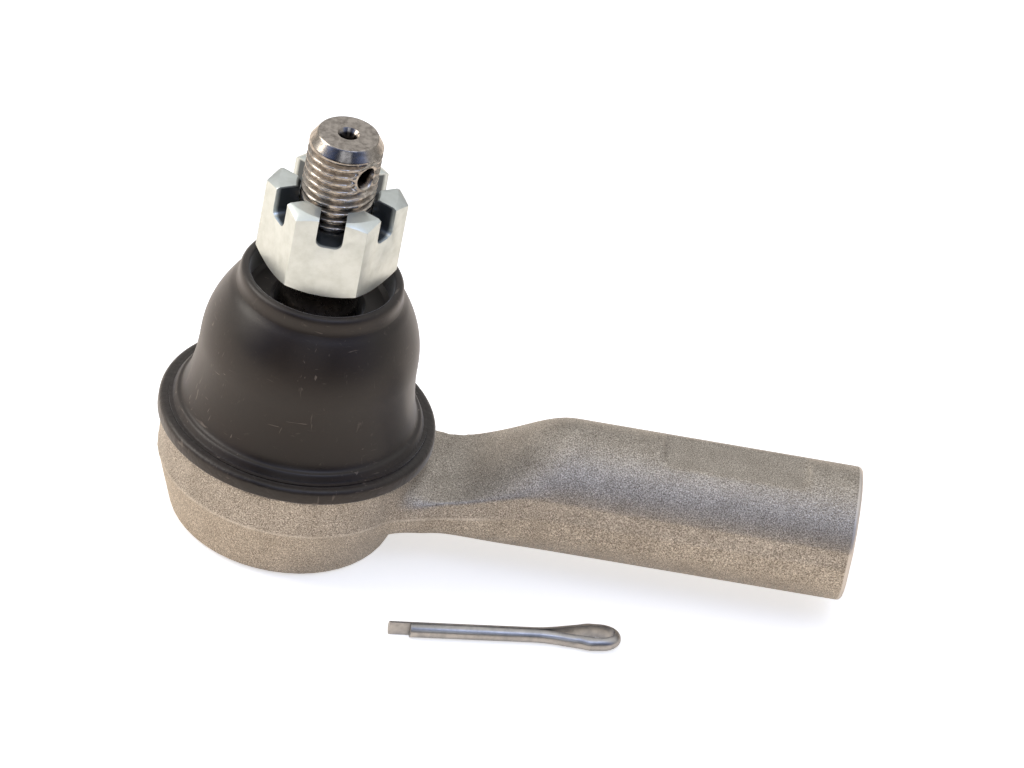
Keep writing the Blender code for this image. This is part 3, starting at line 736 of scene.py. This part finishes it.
# %% Castle nut
def make_nut():
    """The castle nut, from a hexagon bar."""
    deselect()
    bpy.ops.mesh.primitive_cylinder_add(vertices=6, radius=NUT_CORNER_R,
                                        depth=NUT_HIGH - NUT_LOW + BAR_SPARE)
    piece = bpy.context.object
    piece.name = "castle_nut_plated"
    middle = (NUT_LOW + NUT_HIGH) / 2
    bar_turn = NUT_TURN + pi / 6 - pi / 2
    piece.data.transform(Matrix.Translation((0, 0, middle)) @ Matrix.Rotation(bar_turn, 4, "Z"))
    cut(piece, nut_cones(), "INTERSECT")
    cut(piece, nut_bore())
    for i in range(3):
        cut(piece, nut_slot(NUT_TURN + i * pi / 3))
    bevel(piece, NUT_EDGE, 2, 25)
    smooth(piece, 30)
    dress(piece, zinc)
    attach(piece, "nut")
    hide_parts("castle_nut")
    return piece


nut = make_nut()
print("nut faces", len(nut.data.polygons))

# %% [markdown]
# ## Boot
# The boot is one bell of rubber. It leans with the stud in two ways, about two hinges, and a piece can
# bend across one hinge only. So the bell is modelled in two halves that meet at mid-height: the lower half
# reaches from the socket to the boot's middle, and the upper half from that middle to the lip. The lip,
# with the collar that grips the stud, stays with the stud.

# %% Boot outlines
BOOT_SIDES = 128
MID_R, MID_Z = 17.55, 32.5
WALL_MM = 1.8
SEAM = (13.45, 44.25)


def curve(p0, p1, p2, p3, steps):
    """Outline points on a smooth curve with two handles."""
    points = []
    for i in range(steps + 1):
        t = i / steps
        weights = ((1 - t) ** 3, 3 * t * (1 - t) ** 2, 3 * t * t * (1 - t), t ** 3)
        points.append(tuple(sum(w * p[k] for w, p in zip(weights, (p0, p1, p2, p3))) for k in (0, 1)))
    return points


def scaled(outline):
    """An outline in millimetres, in metres."""
    return [(r * MM, z * MM) for r, z in outline]


def lower_outline():
    """Bell foot, bead, valley and flange, in millimetres, from the middle down and back up inside."""
    outside = curve((MID_R, MID_Z), (MID_R, 29.0), (17.95, 26.2), (18.5, 23.7), 18)
    outside += curve((18.5, 23.7), (18.7, 22.7), (19.0, 21.95), (19.45, 21.92), 6)[1:]
    outside += curve((19.45, 21.92), (20.0, 21.9), (20.1, 20.5), (20.7, 20.45), 8)[1:]
    outside += curve((20.7, 20.45), (21.0, 20.45), (21.2, 20.55), (21.5, 20.5), 4)[1:]
    outside += arc(21.5, 19.6, 0.9, 90, 0, 8)[1:] + [(22.4, 18.25)] + arc(22.15, 18.25, 0.25, 0, -90, 3)
    inside = [(20.9, 18.0), (20.9, 20.7), (16.7, 20.7), (16.7, 23.6)]
    inside += curve((16.7, 23.6), (16.2, 26.5), (MID_R - WALL_MM, 29.0), (MID_R - WALL_MM, MID_Z), 10)[1:]
    return scaled(outside + inside + [(MID_R, MID_Z)])


def upper_outline():
    """Shoulder and bell in millimetres, from the seam under the lip to the middle and back up inside."""
    outside = curve(SEAM, (13.7, 43.83), (13.92, 43.6), (14.3, 43.1), 5)
    outside += curve((14.3, 43.1), (16.8, 39.2), (MID_R, 36.1), (MID_R, MID_Z), 24)[1:]
    inner = MID_R - WALL_MM
    inside = [(inner, MID_Z)] + curve((inner, MID_Z), (inner, 36.0), (15.3, 38.6), (13.0, 42.6), 12)[1:]
    return scaled(outside + inside + [(12.8, 43.5), SEAM])


def lip_outline():
    """Lip, recess and the collar that grips the stud, in millimetres."""
    outside = [(12.1, 47.2)] + curve((12.1, 47.2), (12.8, 47.2), (13.2, 46.8), (13.2, 45.6), 8)[1:]
    outside += curve((13.2, 45.6), (13.2, 45.0), (13.28, 44.6), SEAM, 5)[1:]
    inside = [(12.6, 43.4), (11.4, 41.4), (9.8, 40.1)] + arc(9.8, 38.3, 0.9, 90, 270, 8)
    inside += [(9.8, 36.0), (7.2, 36.0), (7.2, 41.6), (7.6, 42.0), (10.7, 42.2), (11.4, 42.8), (11.6, 46.7)]
    return scaled(outside + inside + arc(12.1, 46.7, 0.5, 180, 90, 4))


# %% Boot
def make_boot():
    """The boot's three pieces: two halves that meet at mid-height, and the lip that rides the stud."""
    lower = smooth(turned("boot_lower_half", lower_outline(), BOOT_SIDES))
    upper = smooth(turned("boot_upper_half", upper_outline(), BOOT_SIDES))
    lip = smooth(turned("boot_lip", lip_outline(), BOOT_SIDES))
    for piece in (lower, upper, lip):
        dress(piece, rubber)
        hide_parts("dust_boot")
    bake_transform(lower)
    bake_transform(upper)
    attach(lip, "boot_neck")
    return lower, upper, lip


boot_pieces = make_boot()
print("boot faces", [len(piece.data.polygons) for piece in boot_pieces])

# %% [markdown]
# ## Split pin
# The pin is half-round wire folded on itself, with a drop-shaped eye at the fold. It could be a new curve
# with a half-round section, but its solid has the wire already. So the solid is copied and cut across in
# short lengths, its eye is opened slowly from the legs, and its edges are broken.

# %% Split pin
PIN_TIP = Vector((19.9, -28.2, 0.0)) * MM
PIN_TURN = radians(11.7)
PIN_EYE_FOOT = 30.3 * MM
PIN_EYE_WIDEST = 34.1 * MM
PIN_OPENS = 23.5 * MM
PIN_OPENING = 1.47 * MM
PIN_CUTS = 14
PIN_EDGE = 0.1 * MM
PIN_ALONG = Vector((cos(PIN_TURN), sin(PIN_TURN), 0.0))
PIN_ACROSS = Vector((-sin(PIN_TURN), cos(PIN_TURN), 0.0))


def eased(value, first, last):
    """A smooth step from 0 to 1 between two values."""
    t = share(value, first, last - first)
    return t * t * (3 - 2 * t)


def make_pin():
    """The split pin with a drop-shaped eye."""
    piece = merged_copy("cotter_pin", "split_pin_wire")
    bpy.ops.object.mode_set(mode="EDIT")
    for i in range(PIN_CUTS):
        bpy.ops.mesh.select_all(action="SELECT")
        there = PIN_TIP + PIN_ALONG * (PIN_OPENS + (PIN_EYE_WIDEST - PIN_OPENS) * i / PIN_CUTS)
        bpy.ops.mesh.bisect(plane_co=there, plane_no=PIN_ALONG)
    bpy.ops.object.mode_set(mode="OBJECT")
    for vert in piece.data.vertices:
        along = (vert.co - PIN_TIP).dot(PIN_ALONG)
        across = (vert.co - PIN_TIP).dot(PIN_ACROSS)
        more = eased(along, PIN_OPENS, PIN_EYE_WIDEST) - eased(along, PIN_EYE_FOOT, PIN_EYE_WIDEST)
        vert.co += PIN_ACROSS * (PIN_OPENING * more * (1 if across > 0 else -1))
    bevel(piece, PIN_EDGE, 2, 50)
    smooth(piece, 40)
    dress(piece, wire_steel)
    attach(piece, "pin")
    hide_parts("cotter_pin")
    return piece


pin = make_pin()
print("pin faces", len(pin.data.polygons))

# %% [markdown]
# ## Pieces that keep their solids
# The rings, seats, spring and cover could be modelled again, but they lie inside or underneath and already
# have their shapes, so they only get their finishes.

# %% Finishes on the solids
INNER_LOOKS = {"boot_base_ring": spring_steel, "boot_neck_ring": wire_steel, "upper_bearing": acetal,
               "lower_bearing": acetal, "preload_spring": spring_steel, "end_cover": stamped_steel}
for name, look in INNER_LOOKS.items():
    dress(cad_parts[name], look)
print("solids dressed", len(INNER_LOOKS))

# %% [markdown]
# ## Floor and light
# A white sweep and soft light, as in a product photograph. More lamps could make the floor white, but they
# would wash out the part. So the floor glows to the camera, and a little in mirrors, and keeps the part's
# shadow. To everything else it is warm paper. The sky is dark around the camera and cool above it, which
# gives the shank its blue band, and a small window beside the camera glints in the stud's chamfer.

# %% Floor
FLOOR_SIZE = 3.0
FLOOR_GLOW = 0.6
MIRROR_GLOW = 0.3
WARM_PAPER, WHITE_PAPER = "#f8e6cf", "#eeeff0"


def make_floor():
    """A white floor that keeps the shadow."""
    deselect()
    bpy.ops.mesh.primitive_plane_add(size=FLOOR_SIZE)
    floor_piece = bpy.context.object
    floor_piece.name = "floor"
    look, tree, shader, _ = start_material("white_paper", roughness=0.9)
    path = add_node(tree, "ShaderNodeLightPath").outputs
    paper = add_node(tree, "ShaderNodeMix",
                     {0: path["Is Camera Ray"], 6: linear(WARM_PAPER), 7: linear(WHITE_PAPER)},
                     data_type="RGBA")
    mirrored = add_node(tree, "ShaderNodeMath", (path["Is Glossy Ray"], MIRROR_GLOW), operation="MULTIPLY")
    glow = add_node(tree, "ShaderNodeMath", (path["Is Camera Ray"], FLOOR_GLOW, mirrored),
                    operation="MULTIPLY_ADD")
    feed(tree, shader, {"Base Color": paper, "Emission Color": (1, 1, 1, 1), "Emission Strength": glow})
    dress(floor_piece, look)


make_floor()
print("floor", FLOOR_SIZE, "m wide")

# %% Sky
SKY_STRENGTH = 0.9
SKY_STOPS = [(0.0, "#08080a"), (0.07, "#18191d"), (0.15, "#4c5b84"), (0.27, "#a5b9ec"), (0.42, "#fffcf8"),
             (1.0, "#e4e0db")]
LOW_SKY = 0.42
SKY_RISE = (0.05, 0.65)
WINDOW_WAY = (0.03, -0.885, 0.465)
WINDOW_EDGE = (0.955, 0.97)
WINDOW_TONE = "#f1f5ff"


def make_sky():
    """White to the camera; for light, a soft sky that is dark around the camera and cool above it."""
    world = bpy.data.worlds.new("sky")
    bpy.context.scene.world = world
    world.use_nodes = True
    tree = world.node_tree
    way = add_node(tree, "ShaderNodeTexCoord").outputs["Generated"]
    parts = add_node(tree, "ShaderNodeSeparateXYZ", (way,)).outputs
    seen = add_node(tree, "ShaderNodeLightPath").outputs["Is Camera Ray"]
    ahead = add_node(tree, "ShaderNodeMapRange", (parts["Y"], -1.0, 1.0))
    colour = add_node(tree, "ShaderNodeValToRGB", (ahead,), SKY_STOPS)
    toward = add_node(tree, "ShaderNodeVectorMath", (way, WINDOW_WAY), operation="DOT_PRODUCT")
    window = add_node(tree, "ShaderNodeMapRange", (toward, *WINDOW_EDGE))
    for amount, tone in ((window, linear(WINDOW_TONE)), (seen, (1, 1, 1, 1))):
        colour = add_node(tree, "ShaderNodeMix", {0: amount, 6: colour, 7: tone}, data_type="RGBA")
    rise = add_node(tree, "ShaderNodeMapRange",
                    (parts["Z"], *SKY_RISE, LOW_SKY * SKY_STRENGTH, SKY_STRENGTH))
    bright = add_node(tree, "ShaderNodeMath", (rise, seen), operation="MAXIMUM")
    feed(tree, tree.nodes["Background"], {"Color": colour, "Strength": bright})


make_sky()
print("sky nodes", len(bpy.context.scene.world.node_tree.nodes))

# %% Lamps
LAMP_AIM = Vector((30, 0, 30)) * MM


def make_lamp(name, place, size, power, colour):
    """A square soft lamp aimed at the part."""
    data = bpy.data.lights.new(name, "AREA")
    data.size = size
    data.energy = power
    data.color = linear(colour)[:3]
    lamp = bpy.data.objects.new(name, data)
    bpy.context.scene.collection.objects.link(lamp)
    lamp.location = place
    aim = LAMP_AIM - Vector(place)
    lamp.rotation_euler = aim.to_track_quat("-Z", "Y").to_euler()


make_lamp("left", (-0.75, 0.05, 0.55), 0.6, 5.0, "#fff8ee")
make_lamp("cool_top", (0.25, -0.45, 0.9), 0.4, 1.2, "#d3e0ff")
print("lamps", len(bpy.data.lights))

# %% [markdown]
# ## Finish
# The picture keeps plain colours.

# %% Finish
bpy.context.scene.view_settings.view_transform = "Standard"
deselect()
